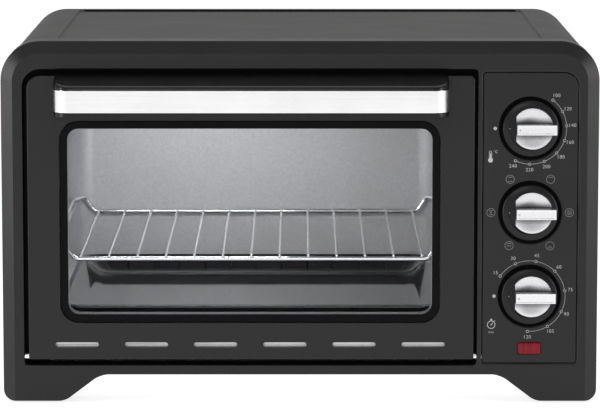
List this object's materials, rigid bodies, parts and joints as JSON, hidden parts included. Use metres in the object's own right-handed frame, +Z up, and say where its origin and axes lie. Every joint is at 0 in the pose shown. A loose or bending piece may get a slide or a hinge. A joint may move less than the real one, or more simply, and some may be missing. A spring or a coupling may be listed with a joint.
{
  "type": "toaster oven",
  "caption": "Benchtop toaster oven with a drop-down glazed door, bar handle, wire rack, baking tray, convection fan and a column of rotary controls on the right.",
  "frame": {"origin": "on the table, at the middle of the overall width and of the overall depth from handle to cord gland", "axes": "+Z up, +X to the right of someone facing the door, -Y out of the door"},
  "size_m": [0.475, 0.38, 0.29],
  "materials": {
    "satin_black": "satin moulded and painted black",
    "black_paint": "satin black paint on sheet steel",
    "gloss_black": "glossy black moulding",
    "matt_black": "matt black moulding",
    "stainless": "brushed stainless sheet",
    "chrome_wire": "bright plated wire",
    "silver_plastic": "satin metallised plastic",
    "aluminised_steel": "aluminised sheet with a faint spangle",
    "zinc_steel": "zinc plated steel",
    "enamel": "glossy black enamel",
    "heater_sheath": "heat tinted steel sheath",
    "rubber": "soft rubber",
    "phenolic": "brown black phenolic",
    "red_lens": "clear red lens",
    "window_glass": "clear toughened glass"
  },
  "bodies": {
    "root": {"front_frame": "satin_black", "hinge_bush_left": "zinc_steel", "hinge_bush_right": "zinc_steel", "front_foot_pad_left": "rubber", "front_foot_pad_right": "rubber", "outer_casing": "black_paint", "back_panel": "black_paint", "cord_gland": "matt_black", "base_plate": "zinc_steel", "rear_foot_left": "matt_black", "rear_foot_right": "matt_black", "cavity_wrap": "aluminised_steel", "cavity_face": "matt_black", "cavity_floor": "aluminised_steel", "cavity_ceiling": "aluminised_steel", "rack_ledge_left": "aluminised_steel", "rack_ledge_right": "aluminised_steel", "tray_ledge_left": "aluminised_steel", "tray_ledge_right": "aluminised_steel", "heater_upper_front": "heater_sheath", "heater_upper_rear": "heater_sheath", "heater_lower_front": "heater_sheath", "heater_lower_rear": "heater_sheath", "heater_bracket_upper_left": "aluminised_steel", "heater_bracket_upper_right": "aluminised_steel", "heater_bracket_lower_left": "aluminised_steel", "heater_bracket_lower_right": "aluminised_steel", "heat_shield": "aluminised_steel", "fan_guard": "aluminised_steel", "fan_motor": "zinc_steel", "control_panel": "satin_black", "pilot_lens": "red_lens", "pilot_holder": "matt_black", "thermostat_body": "phenolic", "selector_body": "phenolic", "timer_body": "phenolic"},
    "door": {"door_panel": "satin_black", "window_frame": "gloss_black", "door_glass": "window_glass", "slot_backing": "stainless", "door_liner": "aluminised_steel", "hinge_pin_left": "chrome_wire", "hinge_pin_right": "chrome_wire", "handle_grip": "gloss_black", "handle_trim": "stainless", "handle_screw_left": "zinc_steel", "handle_screw_right": "zinc_steel"},
    "thermostat_knob": {"thermostat_knob_skirt": "gloss_black", "thermostat_knob_cap": "silver_plastic", "thermostat_shaft": "zinc_steel"},
    "selector_knob": {"selector_knob_skirt": "gloss_black", "selector_knob_cap": "silver_plastic", "selector_shaft": "zinc_steel"},
    "timer_knob": {"timer_knob_skirt": "gloss_black", "timer_knob_cap": "silver_plastic", "timer_shaft": "zinc_steel"},
    "rack": {"wire_rack": "chrome_wire"},
    "tray": {"baking_tray": "enamel"},
    "fan": {"fan_blade": "aluminised_steel", "fan_shaft": "chrome_wire"}
  },
  "joints": [
    {"name": "door_hinge", "type": "hinge", "parent": "root", "child": "door", "pos_m": [-0.039, -0.1565, 0.037], "axis": [1, 0, 0], "range_deg": [0, 90], "stiffness_Nm_per_rad": 0.5, "springref_deg": -28.65},
    {"name": "thermostat_turn", "type": "hinge", "parent": "root", "child": "thermostat_knob", "pos_m": [0.183, -0.161, 0.2209], "axis": [0, 1, 0], "range_deg": [0, 295]},
    {"name": "selector_turn", "type": "hinge", "parent": "root", "child": "selector_knob", "pos_m": [0.183, -0.161, 0.1536], "axis": [0, 1, 0], "range_deg": [0, 300]},
    {"name": "timer_turn", "type": "hinge", "parent": "root", "child": "timer_knob", "pos_m": [0.183, -0.161, 0.0863], "axis": [0, 1, 0], "range_deg": [0, 273]},
    {"name": "rack_slide", "type": "slide", "parent": "root", "child": "rack", "axis": [0, -1, 0], "range_m": [0, 0.128]},
    {"name": "tray_slide", "type": "slide", "parent": "root", "child": "tray", "axis": [0, -1, 0], "range_m": [0, 0.055]},
    {"name": "fan_spin", "type": "hinge", "parent": "root", "child": "fan", "pos_m": [0.135, 0.00145, 0.17395], "axis": [1, 0, 0], "continuous": true}
  ],
  "couplings": [
    {"joint": "rack_slide", "follows": "door_hinge", "m_per_rad": 0.08},
    {"joint": "tray_slide", "follows": "door_hinge", "m_per_rad": 0.034}
  ]
}
